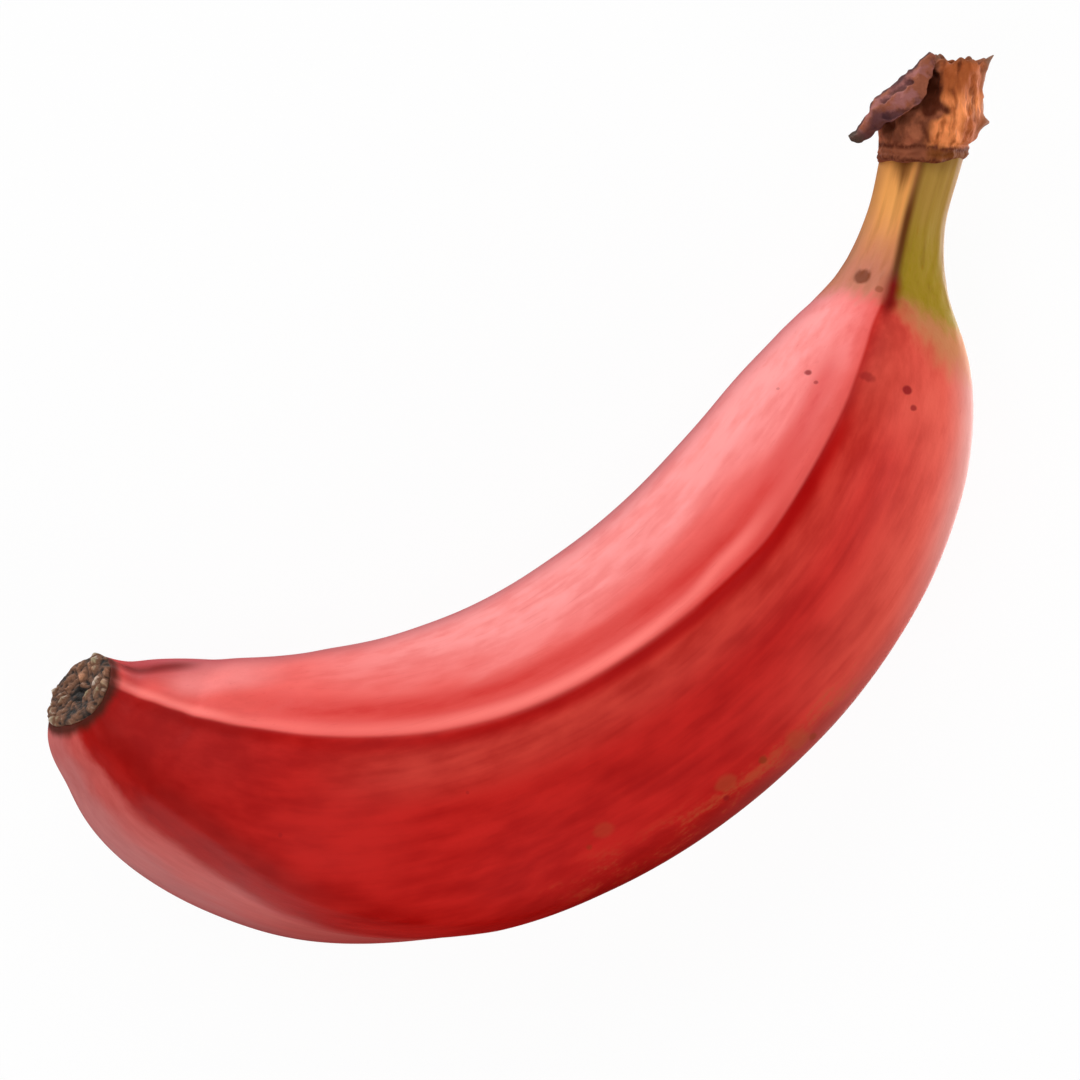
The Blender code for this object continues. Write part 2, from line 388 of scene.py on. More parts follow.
peel = {
    # cross-sections from the blossom end to the top of the stem: the middle's x and y, half the
    # width seen from above, the thickness, and the height of the underside, in mm
    "sections": (
        (-69.6, 30.3, 6.0, 11.6, 18.6),
        (-69.7, 27.6, 8.2, 15.6, 15.4),
        (-68.4, 23.7, 10.9, 20.6, 11.2),
        (-65.7, 16.0, 15.2, 28.4, 4.8),
        (-60.1, 7.6, 18.0, 34.0, 1.2),
        (-53.1, 0.7, 19.9, 37.4, 0.1),
        (-45.1, -4.5, 20.5, 39.2, 0.0),
        (-27.1, -11.2, 21.1, 40.6, 0.0),
        (-7.1, -13.3, 21.0, 41.0, 0.0),
        (10.9, -11.1, 20.2, 40.0, 0.0),
        (26.9, -5.7, 18.4, 37.0, 0.0),
        (37.9, 0.1, 15.8, 31.6, 0.6),
        (45.1, 5.3, 12.3, 24.6, 3.0),
        (50.7, 10.1, 7.9, 15.6, 6.6),
        (57.5, 16.3, 5.4, 10.8, 9.8),
        (64.9, 22.8, 5.5, 11.2, 12.0),
    ),
    # for each share of the length, the five ridges' angles from the outer side over the top, and
    # how crisp they are
    "ridges": (
        (0.00, 76, 126, 196, 272, 350, 3.5),
        (0.12, 72, 122, 192, 268, 346, 4.5),
        (0.28, 44, 117, 184, 256, 330, 6.0),
        (0.42, 22, 107, 178, 244, 314, 7.0),
        (0.56, 22, 102, 175, 238, 310, 7.0),
        (0.72, 28, 101, 175, 238, 310, 6.5),
        (0.86, 32, 97, 175, 240, 312, 6.0),
        (1.00, 30, 96, 175, 244, 312, 6.0),
    ),
    "settleCount": 58,      # rings that find how high the fruit lies
    "settleRounds": 5,
    "soften": 1.2,          # how far the sections are evened out along the fruit
    "evenHeight": 60,       # how often its height and the crest's line are evened out
    "evenCrest": 6,
    "ringCount": 300,
    "facetPoints": 40,      # points from one ridge to the next
    "bed": 0.25,            # mm pressed flat where the fruit rests
    "length": 207,          # mm along the middle, for the places of the spots
    # where each end faces, heading and pitch in degrees, and how many mm of the fruit turn that way
    "scarFacing": (105.0, 36.0, 14.0),
    "crownFacing": (50.0, 8.0, 9.0),
    # how both ends close behind the scar and the crown: share of the ring's size, and mm beyond it
    "closing": ((0.05, -0.7), (0.5, -0.7), (0.85, -0.4), (0.94, 0.0), (0.985, 0.12)),
    "crest": 0.55,          # height of the bright crest, in mm
    "crestAt": -0.1,        # mm from the crest's edge to its top
    # how far the crest's edge stands inward of the main ridge, at shares of the length, in mm
    "crestLine": (
        (0.0, 0.1), (0.008, 0.5), (0.014, 0.7), (0.02, 0.5), (0.03, 0.05), (0.045, -0.15),
        (0.06, 0.0), (0.072, -0.25), (0.084, -0.55), (0.1, -0.7), (0.13, -0.8), (0.16, -0.6),
        (0.2, -0.6), (0.3, -0.4), (0.4, 0.0), (0.5, 0.5), (0.55, 0.5), (0.6, 0.1), (0.64, -0.4),
        (0.68, -0.1), (0.76, 0.5), (0.8, 1.0), (0.84, 1.4), (0.88, 0.6), (0.92, 0.0), (1.0, 0.0),
    ),
    # depths and heights in mm: the hollow beside the crest, the notch by the scar, the slow waves
    # of the skin, the wrinkles round the scar and the stem's fibres
    "groove": 0.45,
    "notch": 0.6,
    "waves": 0.20,
    "puckers": 0.08,
    "puckerCount": 17,
    "puckerReach": 4.5,     # mm along the fruit
    "fibres": 0.10,
    "bending": 1.45,        # how the light bends in the skin
    "finish": (0.12, 0.00008, 0.5),
    "deepRed": (0.44, 0.003, 0.002),
    "brightRed": (0.63, 0.014, 0.010),
    # the inner face's pinks: partly the skin's own colour, partly painted light and a painted sheen
    "rose": (0.84, 0.105, 0.090),
    "bloomSheenPink": (0.97, 0.34, 0.33),
    # the next is a painted highlight on the crest
    "crestHighlightPink": (1.0, 0.21, 0.18),
    # the lower face's mauve, partly a painted reflection, then its greyer edge of painted shade
    "mauve": (0.66, 0.115, 0.10),
    "mauveEdgeShade": (0.60, 0.17, 0.16),
    # the next two are painted shade along the inner outline
    "edgeShadeMauve": (0.45, 0.13, 0.14),
    "edgeShadeRose": (0.44, 0.06, 0.075),
    "wedgeRed": (0.48, 0.03, 0.03),
    # the next is a painted reflection at the outer outline
    "rimSheenPink": (0.74, 0.50, 0.43),
    # the next is painted shade along the stem's outline
    "neckEdgeShade": (0.28, 0.11, 0.05),
    # the next is painted shade at the outer outline
    "rimShadeGrey": (0.36, 0.11, 0.095),
    "coral": (0.80, 0.12, 0.08),
    "shadeRed": (0.40, 0.0, 0.0),
    "maroon": (0.20, 0.002, 0.001),
    "scorched": (0.05, 0.013, 0.006),
    "peach": (0.52, 0.165, 0.092),
    "stemTan": (0.86, 0.38, 0.10),
    "scuff": (0.40, 0.10, 0.03),
    "neckOrange": (0.55, 0.20, 0.08),
    "stemOlive": (0.38, 0.235, 0.032),
    "stemGreen": (0.30, 0.22, 0.005),
    "bark": (0.13, 0.035, 0.004),
    "spotBrown": (0.20, 0.035, 0.003),
    "bruise": (0.26, 0.003, 0.006),
    # marks: the line that each follows, where across it it begins, is full, starts to fade and ends
    # in mm, the same along the fruit in shares of the length, its strength, how much stronger it is
    # on bright skin, and its colour
    "marks": {
        "shoulder": ("outer", (-30.0, -16.0, 3.0, 19.0), (0.50, 0.70, 0.80, 0.88), 0.45, 0.4, "coral"),
        "lit": ("crest", (-11.0, -4.0, -3.0, -1.0), (0.20, 0.32, 0.74, 0.84), 0.14, 0.22, "coral"),
        "glow": ("main", (-34.0, -22.0, -1.5, 2.0), (0.73, 0.80, 0.85, 0.872), 0.35, 0.3, "coral"),
        # painted shade below the outer ridge at the blossom end
        "lowTipShade": ("outer", (-34.0, -22.0, 0.8, 5.5), (-0.02, 0.01, 0.17, 0.30), 0.45, 0, "maroon"),
        # painted shade along the outer outline
        "rimShade": ("outer", (-8.9, -1.9, -1.9, 5.1), (0.42, 0.62, 0.88, 0.93), 0.65, 0, "rimShadeGrey"),
        # painted shade in the hollow beside the crest
        "hollowShade": ("crest", (1.2, 4.6, 4.6, 8.0), (0.12, 0.20, 0.77, 0.83), 0.25, 0.5, "brightRed"),
        # painted shade on the crest's outer flank
        "flankShade": ("crest", (-1.4, 0.3, 0.3, 2.0), (0.50, 0.57, 0.64, 0.69), 0.45, 0, "brightRed"),
        "wedge": ("main", (2.5, 7.0, 7.0, 11.5), (-0.01, 0.0, 0.02, 0.055), 0.75, 0, "wedgeRed"),
    },
    # share of the length, mm from the main ridge (inner side positive), radius in mm, strength, tone
    "spots": (
        (0.889, 4.9, 1.6, 1.0, "spotBrown"),
        (0.879, 1.7, 0.8, 0.5, "spotBrown"),
        (0.784, 8.4, 0.8, 0.85, "bruise"),
        (0.776, 6.4, 0.55, 0.7, "bruise"),
        (0.797, -6.4, 0.8, 0.85, "bruise"),
        (0.786, -8.3, 0.65, 0.75, "bruise"),
        (0.794, -0.6, 1.2, 0.5, "bruise"),
        (0.760, 12.0, 0.35, 0.3, "bruise"),
        (0.531, -24.0, 0.9, 0.6, "spotBrown"),
        (0.497, -25.5, 0.8, 0.7, "bruise"),
        (0.503, -23.6, 1.9, 0.3, "scuff"),
        (0.556, -25.0, 2.2, 0.3, "scuff"),
        (0.565, -26.6, 0.7, 0.5, "spotBrown"),
        (0.418, -20.4, 1.8, 0.2, "scuff"),
        (0.404, -22.0, 0.8, 0.4, "spotBrown"),
        (0.200, -14.0, 0.4, 0.3, "bruise"),
        (0.340, -9.0, 0.35, 0.3, "bruise"),
    ),
}


def soften(values, passes):
    # evens out a curve along the fruit, with both ends kept
    for _ in range(passes):
        values = values.copy()
        values[1:-1] += 0.25 * (values[2:] - 2 * values[1:-1] + values[:-2])
    return values


def crowdEnds(steps, amount):
    # steps in 0..1 drawn closer together at both ends
    return steps - amount * np.sin(2 * np.pi * steps) / (2 * np.pi)


def sectionDirections(middles, lengths):
    # along, outward and upward at each section, with both ends turned to face their own way
    along = unit(np.gradient(middles, lengths, axis=0))
    ends = ((lengths, -1, peel["scarFacing"]), (lengths[-1] - lengths, 1, peel["crownFacing"]))
    for fromEnd, sign, (degrees, pitch, reach) in ends:
        turn = np.clip(1 - fromEnd / reach, 0, 1)[:, None] ** 1.5
        along = unit(along * (1 - turn) + sign * heading(degrees, pitch) * turn)
    outward = unit(np.cross(along, (0.0, 0.0, 1.0)))
    return along, outward, np.cross(outward, along)


def sectionOutlines(ridges):
    # five-sided outlines with rounded corners, one unit wide and one high, and their angles
    steps = crowdEnds(np.arange(peel["facetPoints"]) / peel["facetPoints"], 0.6)
    outlines, angles = [], []
    for row in ridges:
        corners, crispness = row[:5], row[5]
        following = np.append(corners[1:], corners[0] + 360)
        turns = (corners[:, None] + (following - corners)[:, None] * steps).ravel()
        facing = (corners + following) / 2
        reach = np.cos(np.radians(following - corners) / 2)
        leaning = np.cos(np.radians(turns[:, None] - facing)) / reach
        radius = (np.maximum(leaning, 0) ** crispness).sum(axis=1) ** (-1 / crispness)
        outline = radius[:, None] * np.stack([np.cos(np.radians(turns)), np.sin(np.radians(turns))], 1)
        low, high = outline.min(axis=0), outline.max(axis=0)
        outlines.append((outline - (low + high) / 2) / (high - low))
        angles.append(turns)
    return np.array(outlines), np.array(angles)


def sectionRings(share, heights=None):
    # middles, directions, rings and angles at shares of the length, in mm
    stations, table = np.array(peel["sections"]), np.array(peel["ridges"], float)
    gaps = np.hypot(*np.diff(stations[:, :2], axis=0).T)
    knots = np.concatenate([[0.0], np.cumsum(gaps)])
    lengths = share * knots[-1]
    passes = int(peel["soften"] * (len(share) / peel["settleCount"]) ** 2)
    rows = soften(smoothCurve(knots, stations, lengths), passes)
    outlines, angles = sectionOutlines(soften(smoothCurve(table[:, 0], table[:, 1:], share), passes))
    flat = outlines * np.stack([2 * rows[:, 2], rows[:, 3]], 1)[:, None, :]
    rises = np.maximum(rows[:, 4], 0)
    settled = heights is not None
    if not settled:
        heights = rises + rows[:, 3] / 2
    for _ in range(1 if settled else peel["settleRounds"]):
        middles = np.column_stack([rows[:, :2], heights])
        directions = sectionDirections(middles, lengths)
        spokes = flat[..., :1] * directions[1][:, None] + flat[..., 1:] * directions[2][:, None]
        rings = middles[:, None] + spokes
        heights = heights if settled else heights + rises - rings[..., 2].min(axis=1)
    grain = np.concatenate([flat, np.broadcast_to(lengths[:, None, None], flat.shape[:2] + (1,))], 2)
    return middles, directions, rings, angles, share, grain


def peelSections():
    coarse = np.linspace(0, 1, peel["settleCount"])
    settled = sectionRings(coarse)[0][:, 2]
    share = crowdEnds(np.linspace(0, 1, peel["ringCount"]), 0.5)
    heights = smoothCurve(coarse, settled[:, None], share)[:, 0]
    return sectionRings(share, soften(heights, peel["evenHeight"]))


def fromRidge(rings, number):
    # signed distance round each ring from one ridge, in mm, growing towards the next ridge
    steps = np.linalg.norm(np.roll(rings, -1, axis=1) - rings, axis=2)
    travelled = np.cumsum(steps, axis=1) - steps
    total = steps.sum(axis=1, keepdims=True)
    gap = travelled - travelled[:, [number * peel["facetPoints"]]]
    return (gap + total / 2) % total - total / 2


def peelRelief(share, main, outer, inner, drift, grain, angles):
    # how far the skin stands out of its sections, in mm
    crest = step(share, -0.01, 0.03) * (0.3 + 0.7 * step(share, 0.67, 0.61)) * step(share, 0.86, 0.78)
    lift = peel["crest"] * crest * bump(drift, peel["crestAt"], 1.0)
    lift -= peel["groove"] * crest * bump(drift, 4.0, 2.6) * step(share, 0.05, 0.16)
    lift -= 0.2 * peel["groove"] * crest * bump(drift, -2.6, 1.8)
    lift += 0.45 * bump(inner, 0.0, 7.0) * (bump(share, 0.066, 0.022) - bump(share, 0.028, 0.018))
    lift -= peel["notch"] * bump(main, 7.0, 2.6) * bump(share, 0.03, 0.03)

    body = step(share, 0.02, 0.09) * step(share, 0.86, 0.74)
    lift += 0.18 * body * bump(outer, 0.0, 1.2)
    slow = grain * (1, 1, 0.35)
    lift += peel["waves"] * body * roughness(slow, 9.0, 3.1)
    lift += 0.35 * peel["waves"] * body * roughness(slow, 3.2, 7.7)
    wrinkles = np.sin(np.radians(angles) * peel["puckerCount"] + 2.2 * roughness(grain, 5.0, 1.3))
    lift += peel["puckers"] * wrinkles * np.exp(-grain[..., 2] / peel["puckerReach"])
    stem = step(share, 0.80, 0.90)
    return lift + peel["fibres"] * stem * roughness(grain * (1, 1, 0.06), 0.9, 5.0)


def makePeel(sections):
    middles, (along, outward, upward), rings, angles, share, grain = sections
    outer, main, inner = (fromRidge(rings, number) for number in (0, 1, 2))
    share = np.broadcast_to(share[:, None], main.shape)
    crestAt = np.interp(share[:, 0], *np.transpose(peel["crestLine"]))
    drift = main - soften(crestAt, peel["evenCrest"])[:, None]
    around = np.roll(rings, -1, axis=1) - np.roll(rings, 1, axis=1)
    normals = unit(np.cross(around, np.gradient(rings, axis=0)))
    if ((rings - middles[:, None]) * normals).sum() < 0:
        normals = -normals
    rings = rings + normals * peelRelief(share, main, outer, inner, drift, grain, angles)[..., None]
    rings[..., 2] = np.maximum(rings[..., 2] - peel["bed"], 0)

    closing = peel["closing"]
    tip, top = middles[0] - (0, 0, peel["bed"]), middles[-1] - (0, 0, peel["bed"])
    scarEnd = [tip + (rings[0] - tip) * size - along[0] * beyond for size, beyond in closing]
    stemEnd = [top + (rings[-1] - top) * size + along[-1] * beyond for size, beyond in closing[::-1]]
    values = {"share": share, "mainRidge": main, "crest": drift, "outerRidge": outer,
              "innerRidge": inner, "grain": grain}
    for key, grid in values.items():
        head = np.repeat(grid[:1], len(closing), axis=0)
        tail = np.repeat(grid[-1:], len(closing), axis=0)
        values[key] = np.concatenate([head, grid, tail])
    piece = loftRings("peel", scarEnd + list(rings) + stemEnd, values, peelMaterial())
    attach(piece, "root")
    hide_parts("banana")
    print("peel made")


def readPeel(sheet):
    # what the colours follow: the share of the length, the distances from the ridges in mm with
    # the inner side positive, and noises from broad blotches down to fine grit
    grain = sheet.places("grain")
    skin = SimpleNamespace(
        share=sheet.number("share"),
        main=sheet.number("mainRidge"),
        crest=sheet.number("crest"),
        outer=sheet.number("outerRidge"),
        inner=sheet.number("innerRidge"),
        blotches=sheet.grains(grain, (0.13, 0.13, 0.05), 3, (5, 0, 0)),
        mottle=sheet.grains(grain, (0.36, 0.36, 0.16), 4, (0, 7, 0)),
        streaks=sheet.grains(grain, (0.8, 0.8, 0.05), 4),
        threads=sheet.grains(grain, (3.0, 3.0, 0.14), 3),
        grit=sheet.grains(grain, (2.2, 2.2, 1.6), 4),
    )
    skin.tone = sheet.step(0.25 * skin.streaks + 0.4 * skin.mottle + 0.35 * skin.blotches, 0.36, 0.64)
    return skin


def paintMark(sheet, skin, name):
    line, across, along, strength, onBright, tint = peel["marks"][name]
    mask = sheet.between(getattr(skin, line), *across) * sheet.between(skin.share, *along)
    sheet.lay(mask * (strength + onBright * skin.tone), tint)


def paintOuterFace(sheet, skin):
    # coral on the shoulder, and painted shade under the main ridge, on the belly and at the blossom
    # end
    share, crest, outer, mottle = skin.share, skin.crest, skin.outer, skin.mottle
    paintMark(sheet, skin, "shoulder")
    paintMark(sheet, skin, "lit")
    ridgeShadeStrength = 0.08 + 0.4 * sheet.between(share, 0.02, 0.08, 0.16, 0.24)
    ridgeShadeStrength = ridgeShadeStrength + 0.8 * sheet.between(share, 0.44, 0.50, 0.68, 0.79)
    # painted shade under the main ridge
    ridgeShade = sheet.step(crest, -2.6, -0.7) * ridgeShadeStrength * sheet.step(share, 0.86, 0.80)
    sheet.lay(ridgeShade, "shadeRed")
    paintMark(sheet, skin, "glow")
    # painted shade on the face above the outer ridge at the blossom end
    tip = sheet.step(share, 0.30, 0.04) * sheet.step(outer, -0.6, 1.6)
    sheet.lay(tip * (0.2 + 0.3 * ridgeShade + 0.3 * mottle), "maroon")
    # painted shade below the outer ridge at the blossom end
    paintMark(sheet, skin, "lowTipShade")
    # painted shade along the belly's lower edge
    bellyShade = sheet.band(outer + mottle.swing(4), -2.0, 8.0)
    bellyShade = bellyShade * sheet.between(share, 0.29, 0.42, 0.50, 0.68)
    sheet.lay(bellyShade * 0.9, "maroon")


def paintOuterEdge(sheet, skin):
    # a painted reflection along the outer outline, painted shade over it, and the mauve face below the
    # blossom end
    share, outer, mottle = skin.share, skin.outer, skin.mottle
    # a painted pale reflection along the outer outline
    rim = sheet.band(outer, -1.5, 8.0) * sheet.between(share, 0.64, 0.77, 0.82, 0.90)
    sheet.lay(rim * 0.5 * (0.6 + 0.8 * mottle), "rimSheenPink")
    # painted grey shade along the outer outline
    paintMark(sheet, skin, "rimShade")
    # the lower face: partly its own mauve, partly a painted reflection, greyer near its outline as
    # painted shade
    below = (outer + 2.3 + 25 * share + mottle.swing(3)) / (0.7 + 8 * share)
    face = sheet.step(below, 1.0, -1.0) * sheet.step(share + skin.blotches.swing(0.1), 0.37, 0.21)
    face = face * sheet.step(outer, -30.0, -10.0)
    tint = sheet.mix(sheet.step(below, -2.5, -6.0), peel["mauve"], peel["mauveEdgeShade"])
    sheet.lay(face * (0.65 + 0.5 * (skin.streaks - 0.2)), tint)


def paintInnerFace(sheet, skin):
    # pale, partly its own colour and partly painted light, with a bloom and painted sheen on it, and
    # painted shade in the hollow beside the crest
    share, main, crest, inner = skin.share, skin.main, skin.crest, skin.inner
    tone, mottle = skin.tone, skin.mottle
    face = sheet.step(crest, -0.3, 0.3) * sheet.step(inner + mottle.swing(6), 9.0, -2.0)
    # the inner face painted paler: partly its own colour, partly painted light
    sheet.lay(face * (0.85 + 0.15 * tone), "rose")
    across = main / (main - inner)      # 0 on the main ridge, 1 on the inner one
    # the skin's bloom, partly a painted sheen of light
    bloomAndSheen = sheet.step(across + skin.blotches.swing(0.5), 0.24, 0.66) * sheet.step(share, 0.08, 0.42)
    bloomAndSheen = bloomAndSheen * (0.6 + 0.4 * sheet.step(0.3 * skin.streaks + 0.7 * mottle, 0.36, 0.60)) * face
    sheet.lay(bloomAndSheen * 0.8, "bloomSheenPink")
    neckBloomSheen = face * sheet.step(share, 0.64, 0.76) * sheet.step(main, 0.0, 5.0)
    sheet.lay(neckBloomSheen * 0.35 * (0.5 + tone), "bloomSheenPink")
    tipBloomSheen = sheet.between(share, 0.03, 0.055, 0.11, 0.20) * sheet.step(main - 44 * share, -1.2, 2.8)
    sheet.lay(tipBloomSheen * face * (0.3 + 0.3 * mottle), "bloomSheenPink")
    # painted shade in the hollow beside the crest
    paintMark(sheet, skin, "hollowShade")


def paintCrest(sheet, skin):
    # a painted highlight along the main ridge, and a painted line of shade along the inner outline
    share, main, crest = skin.share, skin.main, skin.crest
    width = 1.1 + 0.8 * sheet.step(share, -0.3, 0.4)
    middle = 1.1 + 1.5 * sheet.step(share, 0.56, 0.61)
    # a painted highlight along the crest
    line = sheet.band((crest - middle) / width, 0.0, 1.0)
    line = line * sheet.between(share, -0.01, 0.01, 0.62, 0.69)
    line = line * (1 - 0.25 * sheet.step(share, 0.54, 0.60))
    pale = sheet.step(share, 0.16, 0.08) + sheet.step(share, 0.22, 0.42)
    sheet.lay(line * (0.35 + 0.5 * pale), "crestHighlightPink")
    # painted shade on the crest's outer flank
    paintMark(sheet, skin, "flankShade")
    # painted shade as a dark line along the inner outline
    fromEdge = skin.inner - 2.6 * sheet.step(share, 0.12, 0.50)
    edge = sheet.band(fromEdge, -1.4, 7.5) * sheet.between(share, 0.0, 0.02, 0.88, 0.95)
    edgeShadeTone = sheet.mix(sheet.step(share, 0.04, 0.24), peel["edgeShadeRose"], peel["edgeShadeMauve"])
    sheet.lay(edge * 0.9, edgeShadeTone)
    paintMark(sheet, skin, "wedge")
    # painted shade in the dent beside the scar
    notch = sheet.band(main - 90 * share, 5.1, 1.9) * sheet.between(share, 0.0, 0.012, 0.045, 0.07)
    sheet.lay(notch * 0.85, "maroon")


def paintScuffs(sheet, skin):
    # brown, beside the outer ridge
    scuffs = sheet.band(skin.outer, 3.0, 5.0) * sheet.between(skin.share, 0.34, 0.42, 0.58, 0.66)
    worn = sheet.step(0.45 * skin.mottle + 0.25 * skin.grit + 0.3 * skin.streaks, 0.50, 0.64)
    sheet.lay(scuffs * worn * 0.45, "scuff")


def paintNeck(sheet, skin):
    # peach and tan on the inner side, orange and olive on the outer
    share, main, streaks = skin.share, skin.main, skin.streaks
    ragged = share + streaks.swing(0.02) + skin.mottle.swing(0.02)
    innerSide = sheet.step(main, -0.5, 0.5)
    sheet.lay(innerSide * sheet.step(ragged, 0.858, 0.884), "peach")
    sheet.lay(innerSide * sheet.step(ragged, 0.890, 0.965), "stemTan")
    outerSide = 1 - innerSide
    leaning = (-main).lowest(9.0)
    orange = outerSide * sheet.step(ragged + 0.0045 * leaning, 0.856, 0.888)
    sheet.lay(orange, "neckOrange")
    olive = outerSide * sheet.step(ragged + 0.002 * leaning, 0.868, 0.888)
    stalk = sheet.mix(sheet.step(share, 0.98, 0.91), peel["stemOlive"], peel["stemGreen"])
    sheet.lay(olive * (0.7 + 0.3 * skin.threads), stalk)
    fibres = sheet.step(streaks, 0.48, 0.70) * sheet.step(share, 0.87, 0.90)
    sheet.lay(fibres * 0.22, "bark")


def paintSeam(sheet, skin):
    # the dark seam along the stem, the stains below the crown, and painted shade along the stem's
    # outline
    share, main = skin.share, skin.main
    width = 1.1 + 0.8 * sheet.between(share, 0.85, 0.87, 0.88, 0.905)
    seam = sheet.band(main / width, -0.1, 1.0) * sheet.step(share, 0.846, 0.866)
    seam = seam * (1 - 0.4 * sheet.step(share, 0.95, 0.98))
    tone = sheet.mix(sheet.step(share, 0.885, 0.905), peel["maroon"], peel["bark"])
    sheet.lay(seam, tone)
    stain = sheet.step(share + skin.mottle.swing(0.02), 0.984, 1.0)
    sheet.lay(stain * 0.4, "bark")
    drip = sheet.band(main, 2.4, 2.6) * sheet.step(share + skin.streaks.swing(0.03), 0.968, 0.990)
    sheet.lay(drip * 0.8, "bark")
    # painted shade along the stem's outline
    edges = sheet.band(skin.inner, 0.0, 3.0).highest(sheet.band(skin.outer, -1.0, 3.0))
    sheet.lay(edges * 0.6 * sheet.step(share, 0.85, 0.90), "neckEdgeShade")


def paintSpots(sheet, skin):
    # spots, scorched skin round the scar, and fine dark threads all over
    chart = sheet.node("ShaderNodeCombineXYZ", {}, {0: skin.main, 1: skin.share * peel["length"]})
    for share, fromMain, radius, strength, tint in peel["spots"]:
        values = {0: chart, 1: (fromMain, share * peel["length"], 0)}
        away = sheet.node("ShaderNodeVectorMath", {"operation": "DISTANCE"}, values, "Value")
        spot = sheet.step(away + skin.mottle.swing(1.6 * radius), radius * 1.05, radius * 0.5)
        sheet.lay(spot * strength, tint)
    burnt = sheet.step(skin.share + skin.mottle.swing(0.008), 0.008, 0.001)
    sheet.lay(burnt * 0.9, "scorched")
    sheet.lay(sheet.step(skin.threads, 0.60, 0.80) * 0.15, "deepRed")


def peelMaterial():
    sheet = NodeSheet(bpy.data.materials.new("red peel"), peel)
    skin = readPeel(sheet)
    sheet.colour = sheet.mix(skin.tone, peel["deepRed"], peel["brightRed"])
    paintOuterFace(sheet, skin)
    paintOuterEdge(sheet, skin)
    paintInnerFace(sheet, skin)
    paintCrest(sheet, skin)
    paintScuffs(sheet, skin)
    paintNeck(sheet, skin)
    paintSeam(sheet, skin)
    paintSpots(sheet, skin)
    sheet.feed(sheet.shader.inputs["IOR"], peel["bending"])
    rough = 0.38 + 0.14 * skin.mottle + 0.08 * skin.threads
    return sheet.finish(rough, 0.5 * skin.threads + 0.5 * skin.grit)


crown = {
    # height, reach to the inner side, reach to the outer side and half the thickness, in mm
    "rings": (
        (-1.2, 3.0, 3.0, 3.0),
        (-1.1, 5.4, 5.4, 5.3),
        (-0.9, 5.95, 5.9, 5.9),
        (-0.5, 6.1, 6.15, 6.0),
        (-0.1, 5.95, 6.1, 5.85),
        (0.3, 6.0, 6.3, 5.9),
        (0.7, 5.85, 6.2, 5.7),
        (1.2, 5.9, 6.2, 5.8),
        (2.2, 6.1, 6.9, 6.1),
        (3.6, 6.3, 7.4, 6.3),
        (5.0, 5.9, 7.6, 6.2),
        (6.5, 4.9, 7.5, 5.9),
        (8.0, 3.6, 7.4, 5.4),
        (9.5, 2.1, 7.4, 4.9),
        (11.0, 0.8, 7.5, 4.4),
        (12.3, -0.2, 7.7, 4.0),
        (12.7, -0.5, 7.6, 3.7),
        (12.3, -0.9, 7.1, 3.2),
        (10.6, -0.4, 6.4, 2.8),
        (9.2, -1.2, 5.4, 2.0),
        (8.6, -2.4, 4.2, 0.9),
    ),
    "between": 6,       # rings for each row
    "points": 200,      # points round a ring
    "inside": 16.0,     # the row where the torn rim turns inwards
    "lean": 0.14,       # sideways drift of the folds for each mm up the crown
    "tear": 0.35,       # how far the rim is torn up and down, in mm
    # points drawn out of the side: angle, height, reach, spread round and along, and rise
    "spikes": (
        (6.0, 4.6, 1.0, 9.0, 0.6, 0.0),
        (12.0, 12.7, 0.6, 12.0, 1.1, 0.8),
        (330.0, 12.6, 0.6, 14.0, 1.2, 0.5),
    ),
    # folds seen from above: the two ends across and along the stem, width and depth, in mm
    "folds": (
        ((1.7, 10.2), (1.4, 8.4), 0.7, -1.2),
        ((1.4, 8.4), (0.6, 5.8), 0.9, -1.2),
        ((1.2, 7.0), (3.2, 5.9), 0.6, -0.5),
        ((3.3, 12.2), (2.7, 8.6), 0.4, -0.2),
        ((4.2, 12.4), (4.6, 9.2), 0.7, 0.25),
        ((5.4, 12.2), (4.3, 8.3), 0.45, -0.4),
        ((6.6, 11.6), (5.0, 6.6), 0.9, 0.3),
        ((6.9, 10.6), (7.2, 4.8), 0.4, -0.3),
        ((0.8, 4.7), (5.2, 4.7), 0.6, 0.35),
        ((2.0, 3.4), (5.4, 2.2), 0.7, 0.3),
        ((-0.5, 4.1), (0.6, 1.4), 0.35, -0.35),
        ((-5.4, 4.3), (-4.4, 3.4), 0.6, -0.5),
        ((-2.6, 3.6), (-1.4, 2.0), 0.5, 0.3),
    ),
    "finish": (0.15, 0.0004, 0.9),
    "orange": (0.92, 0.29, 0.09),
    "ginger": (0.34, 0.07, 0.014),
    "russet": (0.38, 0.11, 0.05),
    "umber": (0.17, 0.044, 0.018),
    "grey": (0.19, 0.11, 0.075),
    "olive": (0.17, 0.042, 0.004),
    "dark": (0.10, 0.018, 0.005),
}


def foldDepth(across, along, folds):
    # how far folds drawn from above lift or sink the surface
    depth = np.zeros_like(across)
    for (startX, startY), (endX, endY), width, amount in folds:
        reachX, reachY = endX - startX, endY - startY
        share = ((across - startX) * reachX + (along - startY) * reachY) / (reachX**2 + reachY**2)
        share = np.clip(share, 0, 1)
        away = np.hypot(across - startX - share * reachX, along - startY - share * reachY)
        depth += amount * np.exp(-((away / width) ** 2))
    return depth


def stemFrame(sections):
    # the middle of the stem's end, and the outward, upward and lengthwise directions there
    middles, (along, outward, upward) = sections[:2]
    return middles[-1] - (0, 0, peel["bed"]), outward[-1], upward[-1], along[-1]


def crownSpikes(angles, up, at):
    # how far the drawn-out points reach and rise, in mm
    reach, rise = np.zeros((len(up), len(angles))), np.zeros((len(up), len(angles)))
    for angle, height, far, around, tall, raised in crown["spikes"]:
        swell = bump((angles - angle + 180) % 360 - 180, 0, around) * bump(up, height, tall)
        swell = swell * step(at, crown["inside"] + 2, crown["inside"])[:, None]
        reach += far * swell
        rise += raised * swell
    return reach, rise


